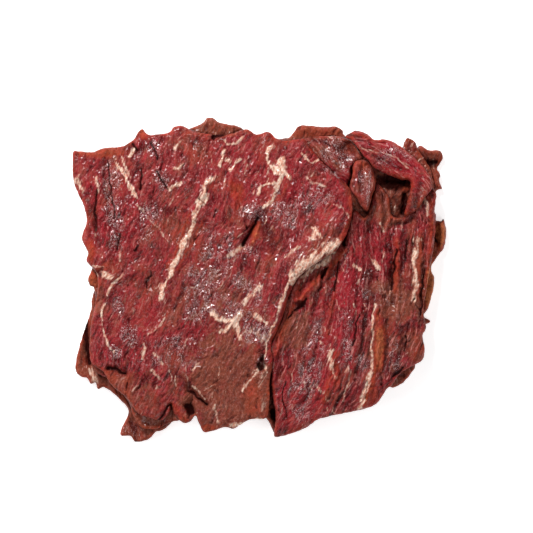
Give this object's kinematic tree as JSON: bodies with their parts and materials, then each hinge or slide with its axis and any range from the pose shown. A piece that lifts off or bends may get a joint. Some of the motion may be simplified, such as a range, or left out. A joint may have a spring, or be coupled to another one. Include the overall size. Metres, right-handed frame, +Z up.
{
  "type": "folded cecina",
  "caption": "Folded stack of thin, half-dried beef sheets with crumpled folds at one corner, lying flat.",
  "frame": {"origin": "middle of the stack's bounding box, on the surface it lies on", "axes": "+X along the longer side to the right of the picture, +Y to the top of the picture, +Z up through the sheets"},
  "size_m": [0.1877, 0.163, 0.0252],
  "materials": {
    "lower_meat": "moist, rusty brown at thin edges",
    "fibrous_meat": "moist, crimson, with long fibres",
    "pale_meat": "moist, brownish red",
    "surface_meat": "wet gloss over brownish red, with cream fat"
  },
  "bodies": {
    "root": {"base_sheet": "lower_meat", "middle_sheet": "lower_meat", "right_sheet": "fibrous_meat", "crumple_left": "pale_meat", "crumple_middle": "pale_meat", "crimson_fold": "fibrous_meat", "top_flap": "surface_meat"}
  },
  "joints": []
}
